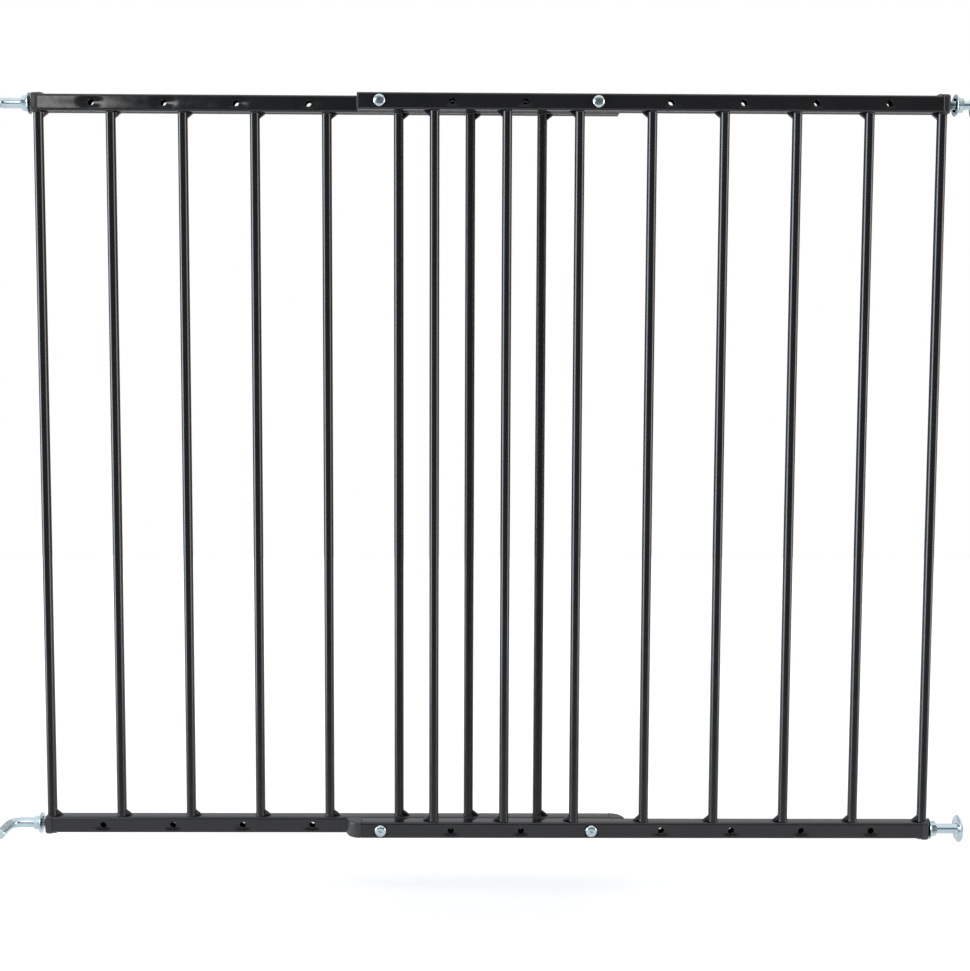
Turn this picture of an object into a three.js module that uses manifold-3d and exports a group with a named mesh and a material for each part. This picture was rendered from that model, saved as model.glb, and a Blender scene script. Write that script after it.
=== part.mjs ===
// Extending swing gate for a stairway or doorway.
// Two panels of round bars slide along each other and are clamped by four screws. Each bar is welded
// to both rails. The rear panel carries two L-shaped hinge pins, and the front panel carries two headed
// latch studs.
// Units are millimetres. X runs from the hinge side to the latch side, -Y is the front, +Z is up.
// The origin is where the shank axis of the lower hinge pin meets the axis of its leg.
import * as THREE from "three";
import { mergeVertices } from "three/addons/utils/BufferGeometryUtils.js";
import Module from "manifold-3d";

const wasm = await Module();
wasm.setup();

// ---- Panels ----
const HEIGHT = 720; // over the top and bottom rails
const BARS = 8; // bars in each panel
const PITCH = 69; // bar centre to bar centre
const BAR_D = 9.6;
const BAR_WALL = 1;
const RAIL = 16; // side of the square rail tube
const RAIL_WALL = 1.2;
const RAIL_CORNER = 2.4; // outside corner radius of the rail tube
const BAR_INSET = 2; // rail's outer end to the first bar's centre
const HOLE_D = 6; // adjusting holes, one for each bar pitch
const HOLE_OFFSET = 17; // hole to the next bar's centre line
const HOLE_TO_END = 19; // last hole to the rail's inner end
const SCREW_HOLES = [5, 8]; // holes of the rear panel that hold the clamp screws

// ---- Fits ----
const GAP = 0.3; // between pieces that touch
const SEAM = 0.3; // between the two panels
const THREAD_CLEARANCE = 0.3; // radial, around a screw thread

// ---- Plastic plugs in the rail ends ----
const PLUG_PROUD = 1.3; // outer plug beyond the rail's faces, on each side
const PLUG_HEAD = 3.6; // rail's end to the outer plug's end face
const PLUG_SLEEVE = 3.4; // the outer plug's skirt round the rail's end
const PLUG_TONGUE = 22;
const PLUG_CROWN = 2.2; // rounding of the outer plug's end face
const LUG_LENGTH = 10; // domed lug across the edge of the outer plug's skirt
const LUG_WIDTH = 9;
const LUG_PROUD = 2.8;
const INNER_FLANGE = 2; // flat plug at the inner end of a top rail
const INNER_TONGUE = 11;
const CAP_LENGTH = 15.5; // quarter-round cap at the inner end of a bottom rail

// ---- Threaded bushes inside the outer plugs ----
const BUSH_D = 11;
const BUSH_LENGTH = 14;

// ---- Hinge pins, latch studs and their flanged nuts ----
const THREAD_D = 8;
const THREAD_END_CHAMFER = 0.8;
const SHANK_D = 9.6;
const NUT_ACROSS_FLATS = 13;
const NUT_LENGTH = 7.5;
const NUT_FLANGE_D = 20.5;
const NUT_FLANGE = 1.4; // thickness at the flange's rim
const NUT_CONE = 1.4; // height of the cone from the rim up to the hexagon
const PIN_SHANK = 23; // lower nut's outer face to the leg's axis
const PIN_LEG = 37; // shank's axis to the end of the leg
const PIN_BEND = 10; // centre-line radius
const LOWER_PIN_GAP = 4.5; // bare thread between plug and nut
const UPPER_PIN_GAP = 2;
const UPPER_STUD_GAP = 6.2;
const LOWER_STUD_GAP = 1;
const UPPER_STUD_SHANK = 10.5; // nut's outer face to the head
const LOWER_STUD_SHANK = 21;
const STUD_HEAD_D = 26;
const STUD_HEAD = 2.6;
const STUD_HEAD_CHAMFER = 0.8;
const THREAD_ENGAGED = 28; // thread inside the plug, from its outer face

// ---- Clamp screws and cap nuts ----
const SCREW_D = 5;
const SCREW_END_CHAMFER = 0.6;
const SCREW_HEAD_D = 11.5;
const SCREW_HEAD = 2.8;
const SCREW_CROWN = 2; // radius of the flat on the screw head
const RECESS_LENGTH = 5.6; // cross recess in the screw head
const RECESS_WIDTH = 1.3;
const RECESS_DEPTH = 1.7;
const CAP_NUT_ACROSS_FLATS = 8;
const CAP_NUT_HEX = 4.5;
const CAP_NUT_FLANGE_D = 11.5;
const CAP_NUT_FLANGE = 1.5;
const CAP_NUT_DOME = 3;
const CAP_NUT_DOME_D = 7.6; // at the dome's foot
const CAP_NUT_CROWN = 1.2; // radius of the flat on the dome
const SCREW_IN_NUT = 4.5; // how far the screw reaches into the cap nut

// ---- Facets ----
const BAR_SIDES = 14;
const BORE_SIDES = 14;
const HOLE_SIDES = 10;
const ROUND_SIDES = 20;
const CORNER_STEPS = 2;
const PIN_SIDES = 14;
const PIN_STEPS = 18; // along the hinge pin's shank, bend and leg
const DOME_STEPS = 3;

// ---- Worked out from the sizes above ----
const topRailZ = HEIGHT - RAIL;
const railStartX = -BAR_INSET;
const plugFaceX = railStartX - PLUG_HEAD;
const hingeToBar = PIN_SHANK + NUT_LENGTH + LOWER_PIN_GAP - plugFaceX;
const holeX = (n) => n * PITCH - HOLE_OFFSET;
const railEndX = holeX(BARS) + HOLE_TO_END;
// The front panel is the rear one turned round, so its holes meet the rear panel's holes only at
// whole pitches: the last hole of each lies on the first screw hole of the other.
const [firstScrewHole, lastScrewHole] = SCREW_HOLES;
const panelSpan = holeX(firstScrewHole) + holeX(lastScrewHole);
const panelStepY = RAIL + SEAM;

const finishes = {
  powderCoat: { color: 0x1c1d20, roughness: 0.38, metalness: 0.0 },
  plastic: { color: 0x191b1e, roughness: 0.5, metalness: 0.0 },
  zinc: { color: 0xbfccd0, roughness: 0.26, metalness: 1.0 },
  brass: { color: 0xb79a58, roughness: 0.4, metalness: 1.0 },
};

// ---- Solids ----
function toSolid(geometry) {
  const bare = geometry.index ? geometry.toNonIndexed() : geometry.clone();
  bare.deleteAttribute("normal");
  bare.deleteAttribute("uv");
  const merged = mergeVertices(bare, 1e-4);
  return new wasm.Manifold(
    new wasm.Mesh({
      numProp: 3,
      vertProperties: merged.attributes.position.array,
      triVerts: new Uint32Array(merged.index.array),
    }),
  );
}

function toGeometry(solid) {
  const mesh = solid.getMesh();
  const geometry = new THREE.BufferGeometry();
  geometry.setAttribute("position", new THREE.BufferAttribute(mesh.vertProperties, 3));
  geometry.setIndex(new THREE.BufferAttribute(mesh.triVerts, 1));
  geometry.computeVertexNormals();
  return geometry;
}

function join(...geometries) {
  return toGeometry(geometries.map(toSolid).reduce((a, b) => a.add(b)));
}

function cut(geometry, ...tools) {
  return toGeometry(tools.map(toSolid).reduce((a, b) => a.subtract(b), toSolid(geometry)));
}

// ---- Outlines and simple bodies, each running along +X from startX ----
function roundedSquare(side, corner) {
  const shape = new THREE.Shape();
  const inner = side / 2 - corner;
  shape.absarc(inner, inner, corner, 0, Math.PI / 2);
  shape.absarc(-inner, inner, corner, Math.PI / 2, Math.PI);
  shape.absarc(-inner, -inner, corner, Math.PI, 1.5 * Math.PI);
  shape.absarc(inner, -inner, corner, 1.5 * Math.PI, 2 * Math.PI);
  return shape;
}

function hexagon(acrossFlats) {
  const radius = acrossFlats / Math.sqrt(3);
  const corners = Array.from({ length: 6 }, (_, i) => {
    const angle = (i * Math.PI) / 3;
    return new THREE.Vector2(radius * Math.cos(angle), radius * Math.sin(angle));
  });
  return new THREE.Shape(corners);
}

function alongX(shape, startX, length) {
  const options = { depth: length, bevelEnabled: false, curveSegments: CORNER_STEPS };
  const body = new THREE.ExtrudeGeometry(shape, options);
  return body.rotateY(Math.PI / 2).translate(startX, 0, 0);
}

// Points are [distance along X, radius]; the profile starts and ends on the axis or closes on itself.
function turned(points, sides = ROUND_SIDES) {
  const profile = points.map(([x, radius]) => new THREE.Vector2(radius, x));
  return new THREE.LatheGeometry(profile, sides).rotateZ(-Math.PI / 2);
}

function rod(startX, length, diameter, sides = ROUND_SIDES) {
  const body = new THREE.CylinderGeometry(diameter / 2, diameter / 2, length, sides);
  return body.rotateZ(-Math.PI / 2).translate(startX + length / 2, 0, 0);
}

// ---- Panel pieces, in the rear panel's own frame: first bar at x = 0, rail centre at z = 0 ----
function railGeometry() {
  const outline = roundedSquare(RAIL, RAIL_CORNER);
  outline.holes.push(roundedSquare(RAIL - 2 * RAIL_WALL, RAIL_CORNER - RAIL_WALL));
  const tube = alongX(outline, railStartX, railEndX - railStartX);
  const drills = Array.from({ length: BARS }, (_, i) => {
    const drill = new THREE.CylinderGeometry(HOLE_D / 2, HOLE_D / 2, 2 * RAIL, HOLE_SIDES);
    return drill.translate(holeX(i + 1), 0, 0);
  });
  return cut(tube, ...drills);
}

function barGeometry() {
  const half = (topRailZ - RAIL) / 2 - GAP;
  const outer = BAR_D / 2;
  const inner = outer - BAR_WALL;
  const ring = [
    [inner, -half],
    [outer, -half],
    [outer, half],
    [inner, half],
    [inner, -half],
  ];
  const profile = ring.map(([radius, z]) => new THREE.Vector2(radius, z));
  return new THREE.LatheGeometry(profile, BAR_SIDES).rotateX(Math.PI / 2);
}

const tongueSide = RAIL - 2 * RAIL_WALL - 2 * GAP;
const tongueCorner = Math.max(RAIL_CORNER - RAIL_WALL, GAP);
const threadBoreD = THREAD_D + 2 * THREAD_CLEARANCE;

// A skirted cap: its end face is crowned, its skirt goes round the rail's end, and a domed lug lies
// across the skirt's edge, on top of a top rail and under a bottom one.
function plugCapGeometry(outward) {
  const capSide = RAIL + 2 * PLUG_PROUD;
  const skirtEndX = railStartX + PLUG_SLEEVE;
  const capLength = skirtEndX - plugFaceX;
  const skirt = alongX(
    roundedSquare(capSide, RAIL_CORNER + PLUG_PROUD),
    plugFaceX + PLUG_CROWN,
    capLength - PLUG_CROWN,
  );
  const crownOptions = {
    depth: capLength - 3 * PLUG_CROWN,
    bevelThickness: PLUG_CROWN,
    bevelSize: PLUG_CROWN,
    bevelSegments: CORNER_STEPS,
    curveSegments: CORNER_STEPS,
  };
  const crownShape = roundedSquare(capSide - 2 * PLUG_CROWN, RAIL_CORNER);
  const crown = new THREE.ExtrudeGeometry(crownShape, crownOptions);
  crown.rotateY(Math.PI / 2).translate(plugFaceX + PLUG_CROWN, 0, 0);
  const lug = new THREE.SphereGeometry(1, BORE_SIDES, BORE_SIDES / 2);
  lug.scale(LUG_LENGTH / 2, LUG_WIDTH / 2, LUG_PROUD);
  lug.translate(skirtEndX, 0, (outward * RAIL) / 2);
  const railSpace = alongX(
    roundedSquare(RAIL + 2 * GAP, RAIL_CORNER + GAP),
    railStartX - GAP,
    PLUG_SLEEVE + LUG_LENGTH,
  );
  return cut(join(skirt, crown, lug), railSpace);
}

// The tongue fills the rail and holds the threaded bush. The first bar passes the cap in a notch.
function outerPlugGeometry(outward) {
  const tongueStart = railStartX - PLUG_HEAD / 2;
  const tongueShape = roundedSquare(tongueSide, tongueCorner);
  const tongue = alongX(tongueShape, tongueStart, PLUG_HEAD / 2 + PLUG_TONGUE);
  const bushSeatStart = railStartX + PLUG_TONGUE - BUSH_LENGTH - GAP;
  const bushSeat = rod(bushSeatStart, BUSH_LENGTH + RAIL, BUSH_D + 2 * GAP, BORE_SIDES);
  const threadBore = rod(plugFaceX - RAIL, 2 * RAIL + PLUG_TONGUE, threadBoreD, BORE_SIDES);
  const barSpace = new THREE.CylinderGeometry(BAR_D / 2 + GAP, BAR_D / 2 + GAP, RAIL, BAR_SIDES);
  barSpace.rotateX(Math.PI / 2).translate(0, 0, -outward * RAIL);
  return cut(join(plugCapGeometry(outward), tongue), bushSeat, threadBore, barSpace);
}

function bushGeometry() {
  const start = railStartX + PLUG_TONGUE - BUSH_LENGTH;
  const inner = threadBoreD / 2;
  const outer = BUSH_D / 2;
  const end = start + BUSH_LENGTH;
  const ring = [
    [start, inner],
    [start, outer],
    [end, outer],
    [end, inner],
    [start, inner],
  ];
  return turned(ring, BORE_SIDES);
}

function innerPlugGeometry() {
  const flange = alongX(roundedSquare(RAIL, RAIL_CORNER), railEndX + GAP, INNER_FLANGE);
  const tongueStart = railEndX - INNER_TONGUE;
  const tongueShape = roundedSquare(tongueSide, tongueCorner);
  return join(flange, alongX(tongueShape, tongueStart, INNER_TONGUE + INNER_FLANGE));
}

// In plan the cap is straight on the seam side and sweeps round from the outer face to meet it.
function innerCapGeometry() {
  const start = railEndX + GAP;
  const half = RAIL / 2;
  const plan = new THREE.Shape();
  plan.moveTo(start, -half);
  plan.lineTo(start + CAP_LENGTH, -half);
  plan.absellipse(start, -half, CAP_LENGTH, RAIL, 0, Math.PI / 2);
  const bevel = RAIL_WALL;
  const options = {
    depth: RAIL - 2 * bevel,
    bevelThickness: bevel,
    bevelSize: bevel,
    bevelOffset: -bevel,
    bevelSegments: 2,
    curveSegments: 2 * CORNER_STEPS,
  };
  const cap = new THREE.ExtrudeGeometry(plan, options).translate(0, 0, bevel - half);
  const tongueShape = roundedSquare(tongueSide, tongueCorner);
  return join(cap, alongX(tongueShape, railEndX - INNER_TONGUE, INNER_TONGUE + INNER_FLANGE));
}

// ---- Turned hardware ----
// All of it is in the panel's frame, on the rail's axis, and reaches out along -X.
function nutGeometry(gap) {
  const flangeStart = plugFaceX - gap;
  const hexStart = flangeStart - NUT_LENGTH + GAP;
  const hex = alongX(hexagon(NUT_ACROSS_FLATS), hexStart, NUT_LENGTH - GAP);
  const flange = turned([
    [flangeStart - NUT_FLANGE - NUT_CONE, 0],
    [flangeStart - NUT_FLANGE - NUT_CONE, NUT_ACROSS_FLATS / 2],
    [flangeStart - NUT_FLANGE, NUT_FLANGE_D / 2],
    [flangeStart, NUT_FLANGE_D / 2],
    [flangeStart, 0],
  ]);
  const bore = rod(hexStart - RAIL, 2 * RAIL + NUT_LENGTH, threadBoreD, BORE_SIDES);
  return cut(join(hex, flange), bore);
}

const threadEndX = plugFaceX + THREAD_ENGAGED;

// Thread from startX, outside the plug, to its chamfered end inside.
function threadProfile(startX) {
  const radius = THREAD_D / 2;
  return [
    [startX, 0],
    [startX, radius],
    [threadEndX - THREAD_END_CHAMFER, radius],
    [threadEndX, radius - THREAD_END_CHAMFER],
    [threadEndX, 0],
  ];
}

function hingePinGeometry(gap) {
  const shoulderX = plugFaceX - gap - NUT_LENGTH;
  const legX = -hingeToBar;
  const path = new THREE.CurvePath();
  const corner = new THREE.Vector3(legX, 0, 0);
  const bendStart = new THREE.Vector3(legX + PIN_BEND, 0, 0);
  const bendEnd = new THREE.Vector3(legX, -PIN_BEND, 0);
  path.add(new THREE.LineCurve3(new THREE.Vector3(shoulderX, 0, 0), bendStart));
  path.add(new THREE.QuadraticBezierCurve3(bendStart, corner, bendEnd));
  path.add(new THREE.LineCurve3(bendEnd, new THREE.Vector3(legX, -PIN_LEG, 0)));
  const section = new THREE.Shape().absarc(0, 0, SHANK_D / 2, 0, 2 * Math.PI);
  const options = { steps: PIN_STEPS, curveSegments: PIN_SIDES / 2, extrudePath: path };
  const bent = new THREE.ExtrudeGeometry(section, options);
  const thread = turned(threadProfile(shoulderX - GAP), BORE_SIDES);
  return join(bent, thread);
}

// A shank thicker than the thread ends in a shoulder behind the nut.
function latchStudGeometry(gap, shankLength, shankD) {
  const shoulderX = plugFaceX - gap - NUT_LENGTH;
  const headX = shoulderX - shankLength;
  const headR = STUD_HEAD_D / 2;
  const outerX = headX - STUD_HEAD;
  const head = turned([
    [outerX, 0],
    [outerX, headR - STUD_HEAD_CHAMFER],
    [outerX + STUD_HEAD_CHAMFER, headR],
    [headX - STUD_HEAD_CHAMFER / 2, headR],
    [headX, headR - STUD_HEAD_CHAMFER / 2],
    [headX, 0],
  ]);
  const shank = rod(headX - STUD_HEAD / 2, shankLength + STUD_HEAD / 2, shankD, BORE_SIDES);
  const thread = turned(threadProfile(headX), BORE_SIDES);
  return join(head, shank, thread);
}

// ---- Clamp screws, along +Y: the head bears on the front rail and the nut on the rear rail ----
const screwStackY = 2 * RAIL + SEAM;

function alongY(geometry) {
  return geometry.rotateZ(Math.PI / 2);
}

// A pan head's outline from its flat crown to its seat, as a quarter ellipse.
function domePoints(radius, height, crownRadius) {
  return Array.from({ length: DOME_STEPS + 1 }, (_, i) => {
    const angle = (i * Math.PI) / 2 / DOME_STEPS;
    const along = -height * Math.cos(angle);
    return [along, crownRadius + (radius - crownRadius) * Math.sin(angle)];
  });
}

function clampScrewGeometry() {
  const headR = SCREW_HEAD_D / 2;
  const length = GAP + screwStackY + GAP + SCREW_IN_NUT;
  const screw = turned([
    [-SCREW_HEAD, 0],
    ...domePoints(headR, SCREW_HEAD, SCREW_CROWN),
    [0, SCREW_D / 2],
    [length - SCREW_END_CHAMFER, SCREW_D / 2],
    [length, SCREW_D / 2 - SCREW_END_CHAMFER],
    [length, 0],
  ]);
  const slots = [0, 1].map((turn) => {
    const slot = new THREE.BoxGeometry(2 * RECESS_DEPTH, RECESS_LENGTH, RECESS_WIDTH);
    return slot.rotateX((turn * Math.PI) / 2).translate(-SCREW_HEAD, 0, 0);
  });
  return alongY(cut(screw, ...slots));
}

function capNutGeometry() {
  const hexEnd = CAP_NUT_FLANGE + CAP_NUT_HEX;
  const hex = alongX(hexagon(CAP_NUT_ACROSS_FLATS), 0, hexEnd);
  const dome = domePoints(CAP_NUT_DOME_D / 2, CAP_NUT_DOME, CAP_NUT_CROWN);
  const body = turned([
    [0, 0],
    [0, CAP_NUT_FLANGE_D / 2],
    [CAP_NUT_FLANGE, CAP_NUT_FLANGE_D / 2],
    [CAP_NUT_FLANGE, CAP_NUT_DOME_D / 2],
    ...dome.reverse().map(([height, radius]) => [hexEnd - height, radius]),
    [hexEnd + CAP_NUT_DOME, 0],
  ]);
  const bore = rod(-RAIL, RAIL + SCREW_IN_NUT + GAP, SCREW_D + 2 * THREAD_CLEARANCE, BORE_SIDES);
  return alongY(cut(join(hex, body), bore));
}

// ---- Assembly ----
function piece(name, finish, geometry, x = 0, y = 0, z = 0) {
  const mesh = new THREE.Mesh(geometry, new THREE.MeshStandardMaterial(finishes[finish]));
  mesh.name = name;
  mesh.position.set(x, y, z);
  return mesh;
}

function panel(side) {
  const group = new THREE.Group();
  const rails = { bottom: 0, top: topRailZ };
  for (const [level, z] of Object.entries(rails)) {
    const outward = level === "top" ? 1 : -1;
    const name = `${side}_${level}`;
    group.add(piece(`${name}_rail`, "powderCoat", railGeometry(), 0, 0, z));
    group.add(piece(`${name}_outer_plug`, "plastic", outerPlugGeometry(outward), 0, 0, z));
    group.add(piece(`${name}_thread_bush`, "brass", bushGeometry(), 0, 0, z));
  }
  group.add(piece(`${side}_top_inner_plug`, "plastic", innerPlugGeometry(), 0, 0, topRailZ));
  group.add(piece(`${side}_bottom_inner_cap`, "plastic", innerCapGeometry(), 0, 0, 0));
  for (let i = 0; i < BARS; i += 1) {
    group.add(piece(`${side}_bar_${i + 1}`, "powderCoat", barGeometry(), i * PITCH, 0, topRailZ / 2));
  }
  return group;
}

const gate = new THREE.Group();

const rearPanel = panel("rear");
rearPanel.position.set(hingeToBar, 0, 0);
gate.add(rearPanel);

const frontPanel = panel("front");
frontPanel.position.set(hingeToBar + panelSpan, -panelStepY, 0);
frontPanel.rotation.z = Math.PI;
gate.add(frontPanel);

const pinGaps = { lower: LOWER_PIN_GAP, upper: UPPER_PIN_GAP };
for (const [level, gap] of Object.entries(pinGaps)) {
  const z = level === "upper" ? topRailZ : 0;
  rearPanel.add(piece(`${level}_hinge_pin`, "zinc", hingePinGeometry(gap), 0, 0, z));
  rearPanel.add(piece(`${level}_hinge_pin_nut`, "zinc", nutGeometry(gap), 0, 0, z));
}

const studs = {
  lower: [LOWER_STUD_GAP, LOWER_STUD_SHANK, SHANK_D],
  upper: [UPPER_STUD_GAP, UPPER_STUD_SHANK, THREAD_D],
};
for (const [level, [gap, shank, diameter]] of Object.entries(studs)) {
  const z = level === "upper" ? topRailZ : 0;
  frontPanel.add(piece(`${level}_latch_stud`, "zinc", latchStudGeometry(gap, shank, diameter), 0, 0, z));
  frontPanel.add(piece(`${level}_latch_stud_nut`, "zinc", nutGeometry(gap), 0, 0, z));
}

const frontFaceY = -panelStepY - RAIL / 2;
const rearFaceY = RAIL / 2;
for (const level of ["upper", "lower"]) {
  SCREW_HOLES.forEach((hole, i) => {
    const x = hingeToBar + holeX(hole);
    const z = level === "upper" ? topRailZ : 0;
    const screwName = `${level}_clamp_screw_${i + 1}`;
    gate.add(piece(screwName, "zinc", clampScrewGeometry(), x, frontFaceY - GAP, z));
    const nutName = `${level}_clamp_nut_${i + 1}`;
    gate.add(piece(nutName, "zinc", capNutGeometry(), x, rearFaceY + GAP, z));
  });
}

export default gate;
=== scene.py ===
"""The looks of an extending swing gate: two welded panels of round bars, clamped together.

Every piece is modelled once, at the lower hinge corner of the rear panel, and copied to its other
places. The front panel is the rear one turned round, so its copies are turned half a turn.
"""

import math

import bmesh
import bpy
from mathutils import Matrix, Vector


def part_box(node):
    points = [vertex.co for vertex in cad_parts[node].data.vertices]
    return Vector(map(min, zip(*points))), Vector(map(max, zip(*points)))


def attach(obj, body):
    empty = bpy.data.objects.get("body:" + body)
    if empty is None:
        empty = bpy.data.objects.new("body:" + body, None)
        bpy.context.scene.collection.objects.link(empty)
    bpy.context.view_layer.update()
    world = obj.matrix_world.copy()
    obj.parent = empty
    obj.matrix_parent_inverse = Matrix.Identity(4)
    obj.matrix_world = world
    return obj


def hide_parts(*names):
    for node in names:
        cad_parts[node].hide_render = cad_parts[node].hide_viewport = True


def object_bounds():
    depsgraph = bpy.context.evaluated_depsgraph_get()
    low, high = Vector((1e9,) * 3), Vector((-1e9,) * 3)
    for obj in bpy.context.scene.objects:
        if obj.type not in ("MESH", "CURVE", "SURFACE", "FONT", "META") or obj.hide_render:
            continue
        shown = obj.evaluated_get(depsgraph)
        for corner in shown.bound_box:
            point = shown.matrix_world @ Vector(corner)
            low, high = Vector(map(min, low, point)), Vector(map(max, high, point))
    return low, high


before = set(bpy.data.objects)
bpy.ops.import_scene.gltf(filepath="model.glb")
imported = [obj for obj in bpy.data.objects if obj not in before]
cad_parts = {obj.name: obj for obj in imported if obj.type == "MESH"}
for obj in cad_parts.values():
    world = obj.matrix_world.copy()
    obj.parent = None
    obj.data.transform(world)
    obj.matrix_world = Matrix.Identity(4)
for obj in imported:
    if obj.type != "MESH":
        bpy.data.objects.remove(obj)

cad_low, cad_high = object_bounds()

MM = 0.001
BARS = 8
HALF_TURN = math.pi
SMOOTH_ANGLE = math.radians(35)

# ---- Places, from the CAD boxes ----
rail_low, rail_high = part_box("rear_bottom_rail")
front_low, front_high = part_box("front_bottom_rail")
top_low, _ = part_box("rear_top_rail")
bar_low, bar_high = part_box("rear_bar_1")
second_bar_low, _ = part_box("rear_bar_2")
plug_low, plug_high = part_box("rear_bottom_outer_plug")

rail_side = rail_high.z - rail_low.z
rail_half = rail_side / 2
rise = top_low.z - rail_low.z
pitch = second_bar_low.x - bar_low.x
bar_x = (bar_low.x + bar_high.x) / 2
bar_radius = (bar_high.x - bar_low.x) / 2
bar_length = bar_high.z - bar_low.z
plug_face = plug_low.x
plug_half = plug_high.y
turn_centre = (rail_low + rail_high + front_low + front_high) / 4

# ---- Sizes that only the looks need, in metres ----
RAIL_WALL = 1.2 * MM
RAIL_CORNER = 2.4 * MM
HOLE_RADIUS = 3 * MM
HOLE_OFFSET = 17 * MM
DISH_HALF_LENGTH = 16 * MM
DISH_HALF_HEIGHT = 6.9 * MM
DISH_DEPTH = 1.1 * MM
SLEEVE = 3.4 * MM
WELD_ALONG_RAIL = 6.3 * MM
WELD_ALONG_BAR = 5.2 * MM
THREAD_RADIUS = 4 * MM
THREAD_PITCH = 1.25 * MM
SHANK_RADIUS = 4.8 * MM
SCREW_RADIUS = 2.5 * MM

tongue_half = rail_half - RAIL_WALL - 0.3 * MM  # a tongue's half side, with its clearance in the tube

TO_TOP = Matrix.Translation((0, 0, rise))
TO_FRONT = (
    Matrix.Translation((turn_centre.x, turn_centre.y, 0))
    @ Matrix.Rotation(HALF_TURN, 4, "Z")
    @ Matrix.Translation((-turn_centre.x, -turn_centre.y, 0))
)
OVER = Matrix.Rotation(HALF_TURN, 4, "X")
HERE = Matrix.Identity(4)


# ---- Working by hand: small helpers around the mesh operators ----
def take(piece):
    bpy.ops.object.select_all(action="DESELECT")
    piece.select_set(True)
    bpy.context.view_layer.objects.active = piece


def open_mesh(piece, kind="FACE"):
    take(piece)
    bpy.ops.object.mode_set(mode="EDIT")
    bpy.ops.mesh.select_mode(type=kind)
    bpy.ops.mesh.select_all(action="DESELECT")


def close_mesh():
    bpy.ops.object.mode_set(mode="OBJECT")


def pick(piece, kind, wanted):
    """Selects the faces, edges or verts of an open mesh for which wanted(element) is true."""
    mesh = bmesh.from_edit_mesh(piece.data)
    for element in getattr(mesh, kind):
        element.select_set(False)
    for element in getattr(mesh, kind):
        if wanted(element):
            element.select_set(True)
    bmesh.update_edit_mesh(piece.data)


def middle(element):
    return sum((v.co for v in element.verts), Vector()) / len(element.verts)


def settle(name):
    """Names the new primitive and puts its place and turn into its mesh."""
    piece = bpy.context.object
    piece.name = name
    take(piece)
    bpy.ops.object.transform_apply(location=True, rotation=True, scale=True)
    return piece


def block(name, low, high):
    low, high = Vector(low), Vector(high)
    bpy.ops.object.select_all(action="DESELECT")
    bpy.ops.mesh.primitive_cube_add(size=1, location=(low + high) / 2)
    bpy.context.object.scale = high - low
    return settle(name)


def rod(name, start, end, radius, sides=32):
    start, end = Vector(start), Vector(end)
    along = end - start
    bpy.ops.object.select_all(action="DESELECT")
    bpy.ops.mesh.primitive_cylinder_add(
        vertices=sides, radius=radius, depth=along.length, location=(start + end) / 2
    )
    bpy.context.object.rotation_mode = "QUATERNION"
    bpy.context.object.rotation_quaternion = along.to_track_quat("Z", "Y")
    return settle(name)


def ball(name, centre, radii, segments=32, rings=20):
    bpy.ops.object.select_all(action="DESELECT")
    bpy.ops.mesh.primitive_uv_sphere_add(segments=segments, ring_count=rings, radius=1, location=centre)
    bpy.context.object.scale = radii
    return settle(name)


def turned(name, rings, sides=48):
    """A body turned about the X axis: a disc at the first ring, extruded and resized to each next ring."""
    (x, radius), *rest = rings
    bpy.ops.object.select_all(action="DESELECT")
    bpy.ops.mesh.primitive_circle_add(
        vertices=sides,
        radius=radius,
        fill_type="NGON",
        location=(x, 0, 0),
        rotation=(0, math.pi / 2, 0),
    )
    piece = settle(name)
    open_mesh(piece)
    bpy.ops.mesh.select_all(action="SELECT")
    for next_x, next_radius in rest:
        bpy.ops.mesh.extrude_region_move(TRANSFORM_OT_translate={"value": (next_x - x, 0, 0)})
        ratio = next_radius / radius
        bpy.ops.transform.resize(value=(1, ratio, ratio), center_override=(next_x, 0, 0))
        x, radius = next_x, next_radius
    close_mesh()
    face_out(piece)
    return piece


def face_out(piece):
    open_mesh(piece)
    bpy.ops.mesh.select_all(action="SELECT")
    bpy.ops.mesh.remove_doubles(threshold=0.001 * MM)
    bpy.ops.mesh.normals_make_consistent(inside=False)
    close_mesh()


def apply_modifier(piece, modifier):
    take(piece)
    bpy.ops.object.modifier_apply(modifier=modifier.name)


def cut(piece, *tools):
    for tool in tools:
        difference = piece.modifiers.new("cut", "BOOLEAN")
        difference.operation = "DIFFERENCE"
        difference.solver = "EXACT"
        difference.object = tool
        apply_modifier(piece, difference)
        bpy.data.objects.remove(tool)
    return piece


def keep_inside(piece, keep):
    common = piece.modifiers.new("keep inside", "BOOLEAN")
    common.operation = "INTERSECT"
    common.solver = "EXACT"
    common.object = keep
    apply_modifier(piece, common)
    bpy.data.objects.remove(keep)


def joined(name, *pieces):
    bpy.ops.object.select_all(action="DESELECT")
    for piece in pieces:
        piece.select_set(True)
    bpy.context.view_layer.objects.active = pieces[0]
    bpy.ops.object.join()
    pieces[0].name = name
    return pieces[0]


def bevel_edges(piece, width, segments, wanted):
    open_mesh(piece, "EDGE")
    pick(piece, "edges", wanted)
    bpy.ops.mesh.bevel(offset=width, offset_type="OFFSET", segments=segments, profile=0.5, affect="EDGES")
    close_mesh()


def edge_runs(edge, axis):
    first, second = (v.co for v in edge.verts)
    along = second - first
    return abs(along[axis]) > 0.99 * along.length


def soften(piece, width, segments=2, angle=math.radians(40)):
    """Breaks every sharp edge, as tumbling, moulding or paint does."""
    bevel = piece.modifiers.new("softened edges", "BEVEL")
    bevel.width = width
    bevel.segments = segments
    bevel.limit_method = "ANGLE"
    bevel.angle_limit = angle
    bevel.use_clamp_overlap = True
    apply_modifier(piece, bevel)


def shade(piece, angle=SMOOTH_ANGLE):
    take(piece)
    bpy.ops.object.shade_smooth_by_angle(angle=angle)


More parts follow.
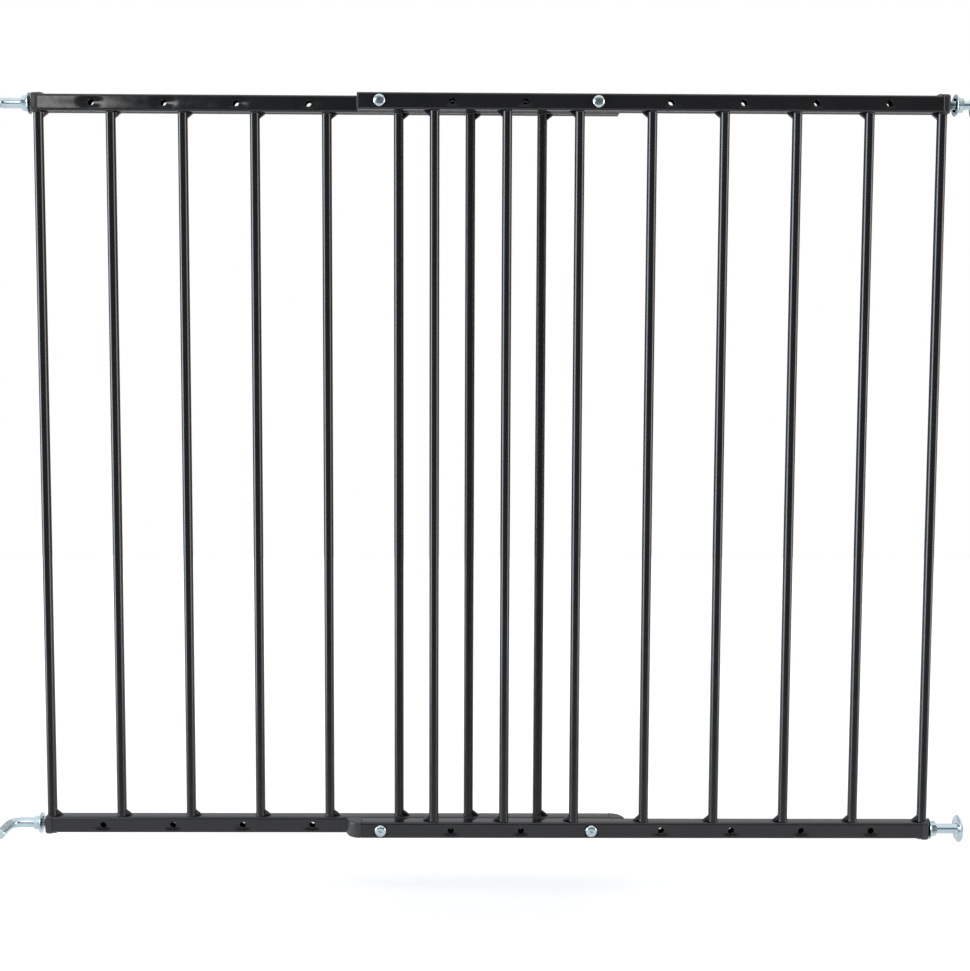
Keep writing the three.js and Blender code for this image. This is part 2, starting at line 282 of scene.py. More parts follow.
def place_copy(template, name, node, body, slot, matrix):
    """A copy of a template with its own mesh, standing for one CAD node."""
    piece = template.copy()
    piece.data = template.data.copy()
    piece.name = name
    piece.data.name = name
    bpy.context.scene.collection.objects.link(piece)
    piece.data.transform(matrix)
    stand_for(piece, node, body, slot)
    return piece


def stand_for(piece, node, body, slot):
    piece.data.materials.clear()
    piece.data.materials.append(finishes[slot])
    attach(piece, body)
    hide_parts(node)


# ---- Finishes ----
def new_finish(name):
    material = bpy.data.materials.new(name)
    material.use_nodes = True
    nodes = material.node_tree.nodes
    shader = nodes["Principled BSDF"]
    place = nodes.new("ShaderNodeTexCoord")
    return material, nodes, material.node_tree.links, shader, place.outputs["Object"]


def noise(nodes, links, place, scale, detail=2.0, roughness=0.5):
    grain = nodes.new("ShaderNodeTexNoise")
    grain.inputs["Scale"].default_value = scale
    grain.inputs["Detail"].default_value = detail
    grain.inputs["Roughness"].default_value = roughness
    links.new(place, grain.inputs["Vector"])
    return grain.outputs["Fac"]


def spread(nodes, links, value, low, high, from_low=0.3, from_high=0.7):
    ranged = nodes.new("ShaderNodeMapRange")
    ranged.inputs["From Min"].default_value = from_low
    ranged.inputs["From Max"].default_value = from_high
    ranged.inputs["To Min"].default_value = low
    ranged.inputs["To Max"].default_value = high
    links.new(value, ranged.inputs["Value"])
    return ranged.outputs["Result"]


def combine(nodes, links, operation, first, second):
    node = nodes.new("ShaderNodeMath")
    node.operation = operation
    links.new(first, node.inputs[0])
    links.new(second, node.inputs[1])
    return node.outputs["Value"]


def blend_colours(nodes, links, factor, first, second):
    mix = nodes.new("ShaderNodeMix")
    mix.data_type = "RGBA"
    links.new(factor, mix.inputs["Factor"])
    mix.inputs["A"].default_value = (*first, 1)
    mix.inputs["B"].default_value = (*second, 1)
    return mix.outputs["Result"]


def bump(nodes, links, height, strength, distance, under=None):
    relief = nodes.new("ShaderNodeBump")
    relief.inputs["Strength"].default_value = strength
    relief.inputs["Distance"].default_value = distance
    links.new(height, relief.inputs["Height"])
    if under is not None:
        links.new(under, relief.inputs["Normal"])
    return relief.outputs["Normal"]


def stretched(nodes, links, place, scale):
    mapping = nodes.new("ShaderNodeMapping")
    mapping.inputs["Scale"].default_value = scale
    links.new(place, mapping.inputs["Vector"])
    return mapping.outputs["Vector"]


def powder_coat():
    """Baked powder paint: satin black with a soft orange peel, uneven gloss, dull rubbed patches and
    hair-fine scratches that run the way the panels slide."""
    material, nodes, links, shader, place = new_finish("satin_black_powder_coat")
    clouds = noise(nodes, links, place, 25, 3)
    patches = noise(nodes, links, place, 140, 2)
    peel = noise(nodes, links, place, 650, 2, 0.4)
    specks = noise(nodes, links, place, 4200, 1)
    rubbed = spread(nodes, links, noise(nodes, links, place, 48, 5, 0.7), 0, 0.09, 0.6, 0.72)
    slid = noise(nodes, links, stretched(nodes, links, place, (0.02, 1, 1)), 1800, 2)
    scratches = spread(nodes, links, slid, 0, 0.03, 0.66, 0.74)
    wear = combine(nodes, links, "ADD", rubbed, scratches)
    colour = blend_colours(
        nodes, links, combine(nodes, links, "ADD", clouds, wear),
        (0.0034, 0.0036, 0.0042), (0.0082, 0.0085, 0.0093),
    )
    links.new(colour, shader.inputs["Base Color"])
    gloss = spread(nodes, links, patches, 0.13, 0.19)
    links.new(combine(nodes, links, "ADD", gloss, wear), shader.inputs["Roughness"])
    shader.inputs["Specular IOR Level"].default_value = 0.38
    coarse = bump(nodes, links, peel, 0.07, 0.05 * MM)
    links.new(bump(nodes, links, specks, 0.015, 0.01 * MM, coarse), shader.inputs["Normal"])
    return material


def plug_plastic():
    """Moulded plastic with a fine spark-eroded grain, duller than the paint."""
    material, nodes, links, shader, place = new_finish("grained_black_plastic")
    clouds = noise(nodes, links, place, 60, 2)
    grain = noise(nodes, links, place, 2600, 3, 0.6)
    flow = noise(nodes, links, place, 220, 1)
    colour = blend_colours(nodes, links, clouds, (0.0085, 0.009, 0.01), (0.0135, 0.014, 0.0155))
    links.new(colour, shader.inputs["Base Color"])
    links.new(spread(nodes, links, grain, 0.3, 0.42), shader.inputs["Roughness"])
    fine = bump(nodes, links, grain, 0.3, 0.05 * MM)
    links.new(bump(nodes, links, flow, 0.15, 0.1 * MM, fine), shader.inputs["Normal"])
    return material


def zinc_plate():
    """Bright zinc with a blue passivation: a cool metal with faint straw-coloured patches."""
    material, nodes, links, shader, place = new_finish("blue_passivated_zinc")
    tint = noise(nodes, links, place, 90, 3)
    haze = noise(nodes, links, place, 420, 3)
    crystals = noise(nodes, links, place, 3200, 2)
    colour = blend_colours(nodes, links, tint, (0.3, 0.4, 0.46), (0.48, 0.55, 0.57))
    links.new(colour, shader.inputs["Base Color"])
    shader.inputs["Metallic"].default_value = 1.0
    links.new(spread(nodes, links, haze, 0.16, 0.3), shader.inputs["Roughness"])
    soft = bump(nodes, links, haze, 0.04, 0.05 * MM)
    links.new(bump(nodes, links, crystals, 0.03, 0.02 * MM, soft), shader.inputs["Normal"])
    return material


def bush_brass():
    """Turned brass gone dull, with tool rings round its axis."""
    material, nodes, links, shader, place = new_finish("turned_brass")
    rings = nodes.new("ShaderNodeTexWave")
    rings.bands_direction = "X"
    rings.inputs["Scale"].default_value = 900
    rings.inputs["Distortion"].default_value = 0.4
    links.new(place, rings.inputs["Vector"])
    tarnish = noise(nodes, links, place, 300, 3)
    colour = blend_colours(nodes, links, tarnish, (0.5, 0.37, 0.16), (0.66, 0.52, 0.28))
    links.new(colour, shader.inputs["Base Color"])
    shader.inputs["Metallic"].default_value = 1.0
    links.new(spread(nodes, links, tarnish, 0.3, 0.48), shader.inputs["Roughness"])
    links.new(bump(nodes, links, rings.outputs["Fac"], 0.15, 0.05 * MM), shader.inputs["Normal"])
    return material


finishes = {
    "powder_coat": powder_coat(),
    "plug_plastic": plug_plastic(),
    "zinc_plate": zinc_plate(),
    "bush_brass": bush_brass(),
}


# ---- Camera, light and floor ----
def add_camera():
    data = bpy.data.cameras.new("camera")
    camera = bpy.data.objects.new("camera", data)
    bpy.context.scene.collection.objects.link(camera)
    data.sensor_width = 36
    data.lens = 50.3
    camera.location = (0.4566, -1.3273, 0.4407)
    pitch_down, yaw, roll = 4.406, 0.579, 0.241
    aim = Matrix.Rotation(math.radians(-yaw), 4, "Z")
    tilt = Matrix.Rotation(math.radians(90 - pitch_down), 4, "X")
    camera.rotation_euler = (aim @ tilt @ Matrix.Rotation(math.radians(roll), 4, "Z")).to_euler()
    bpy.context.scene.camera = camera


def add_softbox(name, location, target, size, power):
    data = bpy.data.lights.new(name, "AREA")
    data.shape = "RECTANGLE"
    data.size, data.size_y = size
    data.energy = power
    light = bpy.data.objects.new(name, data)
    light.location = location
    light.rotation_euler = (Vector(target) - Vector(location)).to_track_quat("-Z", "Y").to_euler()
    bpy.context.scene.collection.objects.link(light)


def along(nodes, links, direction, axis):
    """How far a direction points along an axis."""
    dot = nodes.new("ShaderNodeVectorMath")
    dot.operation = "DOT_PRODUCT"
    links.new(direction, dot.inputs[0])
    dot.inputs[1].default_value = axis
    return dot.outputs["Value"]


def add_world():
    """A white surround for the camera. The light it gives is pale above, dim at eye level, and strong
    from a tall panel at each side: a cool one on the left and a weaker, warm one on the right."""
    world = bpy.data.worlds.new("studio")
    world.use_nodes = True
    bpy.context.scene.world = world
    nodes, links = world.node_tree.nodes, world.node_tree.links
    direction = nodes.new("ShaderNodeTexCoord").outputs["Generated"]
    above = spread(nodes, links, along(nodes, links, direction, (0, 0.2, 1)), 0.26, 0.8, 0.28, 0.42)
    x = along(nodes, links, direction, (1, 0, 0))
    left = spread(nodes, links, x, 0, 12.5, -0.82, -0.92)
    right = spread(nodes, links, x, 0, 7, 0.84, 0.92)
    ahead = spread(nodes, links, along(nodes, links, direction, (0, 1, 0)), 1, 0.06, -0.14, 0.04)
    panels = combine(nodes, links, "MULTIPLY", combine(nodes, links, "ADD", left, right), ahead)
    strength = combine(nodes, links, "ADD", above, panels)
    side = spread(nodes, links, x, 0, 1, -0.7, 0.7)
    tint = blend_colours(nodes, links, side, (0.88, 0.97, 1.08), (1.05, 0.98, 0.92))
    surround = nodes["Background"]
    links.new(tint, surround.inputs["Color"])
    links.new(strength, surround.inputs["Strength"])
    white = nodes.new("ShaderNodeBackground")
    white.inputs["Color"].default_value = (1, 1, 1, 1)
    seen = nodes.new("ShaderNodeLightPath")
    choose = nodes.new("ShaderNodeMixShader")
    links.new(seen.outputs["Is Camera Ray"], choose.inputs["Fac"])
    links.new(surround.outputs["Background"], choose.inputs[1])
    links.new(white.outputs["Background"], choose.inputs[2])
    links.new(choose.outputs["Shader"], nodes["World Output"].inputs["Surface"])


def add_studio():
    bpy.context.scene.view_settings.view_transform = "Standard"
    add_world()
    centre = (cad_low + cad_high) / 2
    upper_left = Vector((cad_low.x, 0, cad_high.z))
    add_softbox("upper left softbox", upper_left + Vector((-0.62, -1.7, 0.42)), upper_left, (0.5, 0.42), 5)
    sky = bpy.data.lights.new("ceiling", "SUN")
    sky.energy = 1.4
    sky.angle = math.radians(100)
    ceiling = bpy.data.objects.new("ceiling", sky)
    bpy.context.scene.collection.objects.link(ceiling)
    floor_drop = 60 * MM
    bpy.ops.object.select_all(action="DESELECT")
    bpy.ops.mesh.primitive_plane_add(size=4.4, location=(centre.x, 0.4, cad_low.z - floor_drop))
    floor = bpy.context.object
    floor.name = "studio_floor"
    pale, nodes, links, shader, place = new_finish("pale_floor")
    patches = noise(nodes, links, place, 3, 2)
    colour = blend_colours(nodes, links, patches, (0.9, 0.9, 0.9), (0.92, 0.92, 0.92))
    links.new(colour, shader.inputs["Base Color"])
    shader.inputs["Roughness"].default_value = 0.7
    floor.data.materials.append(pale)


# ---- Panel pieces ----
def hole_places():
    return [bar_x + n * pitch - HOLE_OFFSET for n in range(1, BARS + 1)]


def dish_depth(x, z):
    """How far the tube wall is pressed in at a place on its front or back face."""
    depth = 0.0
    for hole in hole_places():
        across = math.hypot((x - hole) / DISH_HALF_LENGTH, z / DISH_HALF_HEIGHT)
        if across < 1:
            depth = DISH_DEPTH * (0.5 + 0.5 * math.cos(math.pi * across)) ** 0.8
    return depth


def make_rail():
    """Square tube with rounded corners, its wall pressed into a shallow dish round each adjusting hole."""
    rail = block("rail", rail_low, rail_high)
    bevel_edges(rail, RAIL_CORNER, 6, lambda e: edge_runs(e, 0))
    open_mesh(rail)
    steps = [s * DISH_HALF_LENGTH for s in (-1, -0.8, -0.6, -0.42, -0.24, 0, 0.24, 0.42, 0.6, 0.8, 1)]
    for x in (hole + step for hole in hole_places() for step in steps):
        bpy.ops.mesh.select_all(action="SELECT")
        bpy.ops.mesh.bisect(plane_co=(x, 0, 0), plane_no=(1, 0, 0))
    for share in (-0.78, -0.5, -0.25, 0, 0.25, 0.5, 0.78):
        bpy.ops.mesh.select_all(action="SELECT")
        bpy.ops.mesh.bisect(plane_co=(0, 0, share * DISH_HALF_HEIGHT), plane_no=(0, 0, 1))
    pick(rail, "faces", lambda f: abs(f.normal.x) > 0.9)
    bpy.ops.mesh.delete(type="FACE")
    mesh = bmesh.from_edit_mesh(rail.data)
    for vertex in mesh.verts:
        if abs(abs(vertex.co.y) - rail_half) < 0.01 * MM:
            vertex.co.y -= math.copysign(dish_depth(vertex.co.x, vertex.co.z), vertex.co.y)
    bmesh.update_edit_mesh(rail.data)
    close_mesh()
    wall = rail.modifiers.new("tube wall", "SOLIDIFY")
    wall.thickness = RAIL_WALL
    wall.offset = -1
    apply_modifier(rail, wall)
    drills = [
        rod("drill", (x, -rail_side, 0), (x, rail_side, 0), HOLE_RADIUS, 28) for x in hole_places()
    ]
    cut(rail, joined("drills", *drills))
    shade(rail)
    return rail


def weld_bead(up):
    """A triangular run of weld between the bar and the rail, on the bar's inner side, lumpy as laid."""
    corner = Vector((bar_x + bar_radius - 0.8 * MM, 0, bar_low.z - 0.3 * MM))
    width = 2.1 * MM
    low = corner - Vector((0, width, 0))
    bead = block("bead", low, corner + Vector((WELD_ALONG_RAIL + 0.8 * MM, width, WELD_ALONG_BAR)))
    open_mesh(bead)
    bpy.ops.mesh.select_all(action="SELECT")
    bpy.ops.mesh.bisect(
        plane_co=corner + Vector((0.8 * MM, 0, WELD_ALONG_BAR)),
        plane_no=Vector((WELD_ALONG_BAR, 0, WELD_ALONG_RAIL)).normalized(),
        clear_outer=True,
        use_fill=True,
    )
    close_mesh()
    bevel_edges(bead, 0.9 * MM, 3, lambda e: middle(e).z > corner.z + 0.1 * MM)
    open_mesh(bead)
    bpy.ops.mesh.select_all(action="SELECT")
    bpy.ops.mesh.quads_convert_to_tris()
    bpy.ops.mesh.subdivide(number_cuts=2)
    close_mesh()
    lumps = bpy.data.textures.new("weld lumps", "CLOUDS")
    lumps.noise_scale = 1.6 * MM
    displace = bead.modifiers.new("lumps", "DISPLACE")
    displace.texture = lumps
    displace.strength = 0.7 * MM
    displace.mid_level = 0.5
    apply_modifier(bead, displace)
    if not up:
        middle_z = (bar_low.z + bar_high.z) / 2
        over = Matrix.Translation((0, 0, 2 * middle_z)) @ Matrix.Diagonal((1, 1, -1, 1))
        bead.data.transform(over)
        bead.data.flip_normals()
    shade(bead, math.radians(50))
    return bead


def make_bar():
    """A round tube that flares a little into the paint where it is welded, with a bead at each end."""
    reach = bar_length / 2 + 0.3 * MM
    flare, root = 0.5 * MM, 0.9 * MM
    rings = [
        (-reach, bar_radius + flare),
        (-reach + root / 3, bar_radius + flare / 3),
        (-reach + root, bar_radius),
        (reach - root, bar_radius),
        (reach - root / 3, bar_radius + flare / 3),
        (reach, bar_radius + flare),
    ]
    bar = turned("bar", rings, 40)
    open_mesh(bar)
    pick(bar, "faces", lambda f: abs(f.normal.x) > 0.99)
    bpy.ops.mesh.inset(thickness=1.4 * MM, use_individual=True)
    for side in (-1, 1):
        pick(bar, "faces", lambda f: len(f.verts) > 4 and f.normal.x * side > 0.99)
        bpy.ops.mesh.extrude_region_move(TRANSFORM_OT_translate={"value": (-side * 12 * MM, 0, 0)})
    close_mesh()
    to_place = Matrix.Translation((bar_x, 0, (bar_low.z + bar_high.z) / 2))
    bar.data.transform(to_place @ Matrix.Rotation(-math.pi / 2, 4, "Y"))
    shade(bar)
    return joined("bar", bar, weld_bead(True), weld_bead(False))


def rail_space(reach):
    """The room the rail's end takes up inside the plug's skirt."""
    gap = 0.12 * MM
    half = rail_half + gap
    space = block("rail space", (rail_low.x - gap, -half, -half), (reach, half, half))
    bevel_edges(space, RAIL_CORNER, 6, lambda e: edge_runs(e, 0))
    return space


def tongue_block(start, end):
    """The square tongue of a plug or cap, with rounded long edges, from start to end along the tube."""
    low, high = (start, -tongue_half, -tongue_half), (end, tongue_half, tongue_half)
    tongue = block("tongue", low, high)
    bevel_edges(tongue, 1.2 * MM, 3, lambda e: edge_runs(e, 0))
    return tongue


def make_outer_plug():
    """The moulded cap on a rail's outer end: crowned face, skirt round the rail, and a domed lug."""
    skirt_end = rail_low.x + SLEEVE
    cap = block("cap", (plug_face, -plug_half, -plug_half), (skirt_end, plug_half, plug_half))
    bevel_edges(cap, 3.2 * MM, 6, lambda e: edge_runs(e, 0))
    bevel_edges(cap, 2.6 * MM, 6, lambda e: max(v.co.x for v in e.verts) < plug_face + 0.1 * MM)
    bevel_edges(cap, 0.6 * MM, 3, lambda e: min(v.co.x for v in e.verts) > skirt_end - 0.01 * MM)
    notch = rod("notch", (bar_x, 0, rail_half), (bar_x, 0, 2 * rail_side), bar_radius + 0.3 * MM, 40)
    bore_start, bore_end = (plug_face - rail_side, 0, 0), (plug_face + rail_side, 0, 0)
    bore = rod("bore", bore_start, bore_end, THREAD_RADIUS + 0.5 * MM, 40)
    cut(cap, rail_space(skirt_end + rail_side), notch, bore)
    lug = ball("lug", (skirt_end, 0, rail_low.z), (5 * MM, 4.5 * MM, rail_low.z - plug_low.z))
    open_mesh(lug)
    bpy.ops.mesh.select_all(action="SELECT")
    bpy.ops.mesh.bisect(
        plane_co=(0, 0, rail_low.z - 0.02 * MM), plane_no=(0, 0, 1), clear_outer=True, use_fill=True
    )
    close_mesh()
    tongue = tongue_block(rail_low.x - 0.5 * MM, plug_high.x)
    passage = rod("passage", (plug_face, 0, 0), (plug_high.x + rail_side, 0, 0), 5.8 * MM, 40)
    cut(tongue, passage)
    plug = joined("outer_plug", cap, lug, tongue)
    shade(plug)
    return plug


def make_inner_plug():
    """A flat cap on a tongue, flush with the tube: used at the inner end of a top rail."""
    low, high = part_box("rear_top_inner_plug")
    end = rail_high.x + 0.15 * MM
    flange = block("flange", (end, -rail_half, -rail_half), (high.x, rail_half, rail_half))
    bevel_edges(flange, RAIL_CORNER, 6, lambda e: edge_runs(e, 0))
    bevel_edges(flange, 0.6 * MM, 3, lambda e: min(v.co.x for v in e.verts) > high.x - 0.01 * MM)
    tongue = tongue_block(low.x, end + 0.5 * MM)
    bevel_edges(tongue, 0.8 * MM, 2, lambda e: max(v.co.x for v in e.verts) < low.x + 0.01 * MM)
    plug = joined("inner_plug", flange, tongue)
    shade(plug)
    return plug


def make_inner_cap():
    """A quarter-round cap: straight along the other panel, swept round from the outside face."""
    low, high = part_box("rear_bottom_inner_cap")
    start = rail_high.x + 0.4 * MM
    length = high.x - start
    bpy.ops.object.select_all(action="DESELECT")
    bpy.ops.mesh.primitive_cylinder_add(vertices=96, radius=1, depth=1)
    bpy.context.object.location = (start, rail_low.y, 0)
    bpy.context.object.scale = (length, rail_side, rail_side)
    cap = settle("cap")
    edge_z = rail_half - 0.01 * MM
    bevel_edges(cap, 2.0 * MM, 5, lambda e: abs(middle(e).z) > edge_z)
    far = (high.x + rail_side, 2 * rail_side, rail_side)
    keep_inside(cap, block("quarter", (start, rail_low.y, -rail_side), far))
    tongue = tongue_block(low.x, start + 0.5 * MM)
    whole = joined("inner_cap", cap, tongue)
    shade(whole)
    return whole


def add_panels():
    rail, bar = make_rail(), make_bar()
    outer_plug, inner_plug, inner_cap = make_outer_plug(), make_inner_plug(), make_inner_cap()
    for side, turn in (("rear", HERE), ("front", TO_FRONT)):
        body = f"{side}_panel"
        for level, lift, flip in (("bottom", HERE, HERE), ("top", TO_TOP, OVER)):
            name = f"{side}_{level}"
            place_copy(rail, f"{name}_rail_tube", f"{name}_rail", body, "powder_coat", turn @ lift)
            move = turn @ lift @ flip
            place_copy(outer_plug, f"{name}_plug_head", f"{name}_outer_plug", body, "plug_plastic", move)
            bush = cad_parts[f"{name}_thread_bush"]
            bush.data.materials.clear()
            bush.data.materials.append(finishes["bush_brass"])
        name = f"{side}_top_inner_plug"
        place_copy(inner_plug, f"{name}_cap", name, body, "plug_plastic", turn @ TO_TOP)
        name = f"{side}_bottom_inner_cap"
        place_copy(inner_cap, f"{name}_quarter", name, body, "plug_plastic", turn)
        for i in range(BARS):
            along = Matrix.Translation((i * pitch, 0, 0))
            name = f"{side}_bar_{i + 1}"
            place_copy(bar, f"{name}_tube", name, body, "powder_coat", turn @ along)
    for template in (rail, bar, outer_plug, inner_plug, inner_cap):
        bpy.data.objects.remove(template)


# ---- Hardware ----
def threaded_rod(name, start, end):
    """A chamfered core with a helical ridge: a coarse rolled thread about the X axis."""
    minor = THREAD_RADIUS - 0.65 * MM
    chamfer = 0.8 * MM
    core = turned(
        name,
        [
            (start, minor - chamfer / 2),
            (start + chamfer / 2, minor),
            (end - chamfer / 2, minor),
            (end, minor - chamfer / 2),
        ],
        40,
    )
    turns = max(1, int((end - start - 2 * chamfer) / THREAD_PITCH))
    bpy.ops.object.select_all(action="DESELECT")
    bpy.ops.mesh.primitive_circle_add(vertices=3, radius=1)
    ridge = settle("ridge")
    profile = [(minor - 0.1 * MM, 0.56), (THREAD_RADIUS, 0.0), (minor - 0.1 * MM, -0.56)]
    for vertex, (radius, height) in zip(ridge.data.vertices, profile):
        vertex.co = (radius, 0, height * THREAD_PITCH)
    helix = ridge.modifiers.new("helix", "SCREW")
    helix.axis = "Z"
    helix.angle = 2 * math.pi
    helix.screw_offset = THREAD_PITCH
    helix.iterations = turns
    helix.steps = 28
    helix.render_steps = 28
    apply_modifier(ridge, helix)
    open_mesh(ridge, "EDGE")
    bpy.ops.mesh.select_all(action="SELECT")
    bpy.ops.mesh.remove_doubles(threshold=0.001 * MM)
    bpy.ops.mesh.select_all(action="SELECT")
    bpy.ops.mesh.fill_holes(sides=4)
    bpy.ops.mesh.select_all(action="SELECT")
    bpy.ops.mesh.normals_make_consistent(inside=False)
    close_mesh()
    lie = Matrix.Translation((start + chamfer, 0, 0)) @ Matrix.Rotation(math.pi / 2, 4, "Y")
    ridge.data.transform(lie)
    return joined(name, core, ridge)


def make_flange_nut(node):
    """A hexagon nut with chamfered corners on a round flange; the flange faces the plug."""
    low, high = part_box(node)
    flat_half = 6.5 * MM
    corner_radius = flat_half / math.cos(math.radians(30))
    flange_radius = (high.z - low.z) / 2
    inner, outer = high.x, low.x
    hexagon = rod("hexagon", (outer, 0, 0), (inner, 0, 0), corner_radius, 6)
    hexagon.data.transform(Matrix.Rotation(math.radians(15), 4, "X"))
    keep = turned(
        "keep",
        [
            (outer - 0.1 * MM, flat_half * 0.97),
            (outer, flat_half * 0.99),
            (outer + 0.7 * MM, corner_radius * 1.01),
            (inner + 1 * MM, corner_radius * 1.01),
        ],
        64,
    )
    keep_inside(hexagon, keep)
    flange = turned(
        "flange",
        [
            (inner - 3.4 * MM, flat_half * 0.96),
            (inner - 2.4 * MM, flat_half * 1.12),
            (inner - 1.5 * MM, flange_radius * 0.955),
            (inner - 1.15 * MM, flange_radius),
            (inner - 0.3 * MM, flange_radius),
            (inner, flange_radius * 0.97),
        ],
        64,
    )
    for pierced in (hexagon, flange):
        bore = rod("bore", (outer - 5 * MM, 0, 0), (inner + 5 * MM, 0, 0), THREAD_RADIUS + 0.1 * MM, 40)
        cut(pierced, bore)
    soften(hexagon, 0.25 * MM, 2)
    nut = joined("flange_nut", hexagon, flange)
    shade(nut)
    return nut


def make_hinge_pin(level):
    """A bar with a thread on one end, bent square: circle, extrude, spin round the bend, extrude, chamfer."""
    low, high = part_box(f"{level}_hinge_pin")
    nut_low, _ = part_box(f"{level}_hinge_pin_nut")
    shoulder = nut_low.x
    leg_x = low.x + SHANK_RADIUS
    bend = 10 * MM
    bpy.ops.object.select_all(action="DESELECT")
    bpy.ops.mesh.primitive_circle_add(
        vertices=40,
        radius=SHANK_RADIUS - 0.5 * MM,
        fill_type="NGON",
        location=(shoulder, 0, 0),
        rotation=(0, -math.pi / 2, 0),
    )
    pin = settle("hinge_pin")
    open_mesh(pin)
    bpy.ops.mesh.select_all(action="SELECT")
    wider = SHANK_RADIUS / (SHANK_RADIUS - 0.5 * MM)
    bpy.ops.mesh.extrude_region_move(TRANSFORM_OT_translate={"value": (-0.5 * MM, 0, 0)})
    bpy.ops.transform.resize(value=(1, wider, wider), center_override=(shoulder - 0.5 * MM, 0, 0))
    straight = shoulder - 0.5 * MM - (leg_x + bend)
    bpy.ops.mesh.extrude_region_move(TRANSFORM_OT_translate={"value": (-straight, 0, 0)})
    bpy.ops.mesh.spin(
        steps=14, angle=math.pi / 2, center=(leg_x + bend, -bend, 0), axis=(0, 0, -1), dupli=False
    )
    leg = -low.y - bend - 0.8 * MM
    bpy.ops.mesh.extrude_region_move(TRANSFORM_OT_translate={"value": (0, -leg, 0)})
    bpy.ops.mesh.extrude_region_move(TRANSFORM_OT_translate={"value": (0, -0.8 * MM, 0)})
    narrower = (SHANK_RADIUS - 0.8 * MM) / SHANK_RADIUS
    bpy.ops.transform.resize(value=(narrower, 1, narrower), center_override=(leg_x, low.y, 0))
    close_mesh()
    face_out(pin)
    thread = threaded_rod("thread", shoulder - 0.4 * MM, high.x)
    whole = joined("hinge_pin", pin, thread)
    shade(whole)
    return whole


def make_latch_stud(level, shank_radius):
    """A stud with a broad flat head, made reaching out along -X from the rear panel's frame."""
    box_low, box_high = (TO_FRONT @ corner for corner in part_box(f"{level}_latch_stud"))
    outer, inner_end = box_high.x, box_low.x
    nut_outer = (TO_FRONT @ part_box(f"{level}_latch_stud_nut")[1]).x
    head, head_radius = 2.6 * MM, 13 * MM
    body = turned(
        "stud",
        [
            (outer, head_radius * 0.9),
            (outer + 0.35 * MM, head_radius * 0.965),
            (outer + 0.9 * MM, head_radius),
            (outer + head - 0.6 * MM, head_radius),
            (outer + head - 0.2 * MM, head_radius * 0.985),
            (outer + head, head_radius * 0.96),
            (outer + head + 0.01 * MM, shank_radius + 0.9 * MM),
            (outer + head + 0.3 * MM, shank_radius + 0.3 * MM),
            (outer + head + 0.9 * MM, shank_radius),
            (nut_outer - 0.4 * MM, shank_radius),
            (nut_outer - 0.05 * MM, shank_radius - 0.4 * MM),
        ],
        64,
    )
    thread = threaded_rod("thread", nut_outer - 0.5 * MM, inner_end)
    stud = joined("latch_stud", body, thread)
    shade(stud)
    return stud


def make_clamp_screw(node):
    """A pan-head screw with a cross recess; its head bears on the front rail."""
    low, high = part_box(node)
    centre = (low + high) / 2
    head_radius = (high.x - low.x) / 2
    head_height = 2.2 * MM
    seat = low.y + head_height
    dome = [
        (head_radius * (0.34 + 0.66 * math.sin(angle)), head_height * math.cos(angle))
        for angle in (math.radians(a) for a in range(0, 91, 10))
    ]
    rings = [(seat - height, radius) for radius, height in dome]
    rings += [
        (seat + 0.01 * MM, SCREW_RADIUS),
        (high.y - 0.5 * MM, SCREW_RADIUS),
        (high.y, SCREW_RADIUS - 0.5 * MM),
    ]
    screw = turned("clamp_screw", rings, 48)
    slots = []
    for turn in (0, 90):
        slot = block("slot", (-1.6 * MM, -2.4 * MM, -0.55 * MM), (1.6 * MM, 2.4 * MM, 0.55 * MM))
        open_mesh(slot)
        pick(slot, "faces", lambda f: f.normal.x > 0.9)
        bpy.ops.transform.resize(value=(1, 0.45, 0.55), center_override=(1.6 * MM, 0, 0))
        close_mesh()
        twist = Matrix.Rotation(math.radians(turn + 20), 4, "X")
        slot.data.transform(Matrix.Translation((low.y, 0, 0)) @ twist)
        slots.append(slot)
    cut(screw, *slots)
    shade(screw)
    along_y = Matrix.Translation((centre.x, 0, centre.z)) @ Matrix.Rotation(math.pi / 2, 4, "Z")
    screw.data.transform(along_y)
    return screw


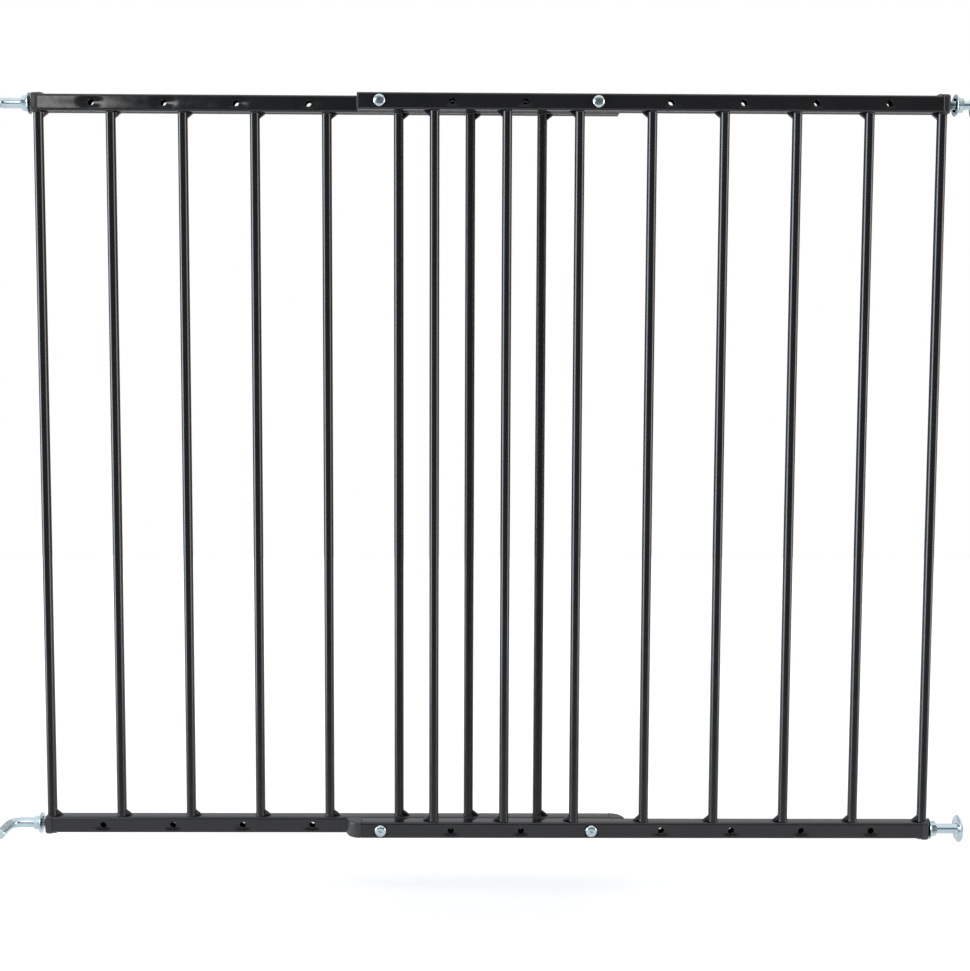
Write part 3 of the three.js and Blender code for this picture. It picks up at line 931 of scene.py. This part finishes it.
def make_cap_nut(node):
    """A domed nut on a thin flange, behind the rear rail."""
    low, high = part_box(node)
    centre = (low + high) / 2
    flange_radius = (high.x - low.x) / 2
    flat_half = 4 * MM
    corner_radius = flat_half / math.cos(math.radians(30))
    seat, flange_top, hex_top = low.y, low.y + 1.5 * MM, low.y + 6 * MM
    hexagon = rod("hexagon", (seat + 0.2 * MM, 0, 0), (hex_top, 0, 0), corner_radius, 6)
    clear = corner_radius * 1.02
    keep = turned("keep", [(seat, clear), (hex_top - 0.6 * MM, clear), (hex_top + 0.1 * MM, flat_half)], 64)
    keep_inside(hexagon, keep)
    soften(hexagon, 0.2 * MM, 2)
    dome_height, dome_radius = high.y - hex_top, flat_half * 0.93
    dome = [
        (hex_top - 0.5 * MM, dome_radius),
        *(
            (hex_top + dome_height * math.sin(angle), dome_radius * math.cos(angle) + 0.02 * MM)
            for angle in (math.radians(a) for a in range(0, 91, 15))
        ),
    ]
    cap = turned("dome", dome, 48)
    flange = turned(
        "flange",
        [
            (seat, flange_radius * 0.97),
            (seat + 0.2 * MM, flange_radius),
            (flange_top - 0.4 * MM, flange_radius),
            (flange_top, flange_radius * 0.94),
            (flange_top + 0.3 * MM, corner_radius * 1.02),
        ],
        48,
    )
    for pierced in (hexagon, flange):
        cut(pierced, rod("bore", (seat - 5 * MM, 0, 0), (seat + 4.8 * MM, 0, 0), SCREW_RADIUS + 0.3 * MM, 32))
    nut = joined("cap_nut", hexagon, cap, flange)
    shade(nut)
    nut.data.transform(
        Matrix.Translation((centre.x, 0, centre.z)) @ Matrix.Rotation(math.pi / 2, 4, "Z")
    )
    return nut


def shift_between(first, second):
    """The move that takes one CAD node's box to another's."""
    return Matrix.Translation(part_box(second)[0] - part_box(first)[0])


def add_hardware():
    nut = make_flange_nut("lower_hinge_pin_nut")
    for level, lift in (("lower", HERE), ("upper", TO_TOP)):
        pin = make_hinge_pin(level)
        body = f"{level}_hinge_pin"
        place_copy(pin, f"{body}_bar", body, body, "zinc_plate", lift)
        nut_node = f"{body}_nut"
        move = shift_between("lower_hinge_pin_nut", nut_node)
        place_copy(nut, f"{nut_node}_hex", nut_node, body, "zinc_plate", move)
        body = f"{level}_latch_stud"
        stud = make_latch_stud(level, SHANK_RADIUS if level == "lower" else THREAD_RADIUS)
        place_copy(stud, f"{body}_turned", body, body, "zinc_plate", TO_FRONT @ lift)
        nut_node = f"{body}_nut"
        turned_low = TO_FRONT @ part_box(nut_node)[1]
        slide = Matrix.Translation((turned_low.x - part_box("lower_hinge_pin_nut")[0].x, 0, 0))
        place_copy(nut, f"{nut_node}_hex", nut_node, body, "zinc_plate", TO_FRONT @ lift @ slide)
        bpy.data.objects.remove(pin)
        bpy.data.objects.remove(stud)
    bpy.data.objects.remove(nut)
    screw = make_clamp_screw("lower_clamp_screw_1")
    cap_nut = make_cap_nut("lower_clamp_nut_1")
    for level in ("lower", "upper"):
        for i in (1, 2):
            for template, kind in ((screw, "screw"), (cap_nut, "nut")):
                node = f"{level}_clamp_{kind}_{i}"
                move = shift_between(f"lower_clamp_{kind}_1", node)
                place_copy(template, f"{node}_turned", node, node, "zinc_plate", move)
    bpy.data.objects.remove(screw)
    bpy.data.objects.remove(cap_nut)


add_camera()
add_studio()
add_panels()
add_hardware()
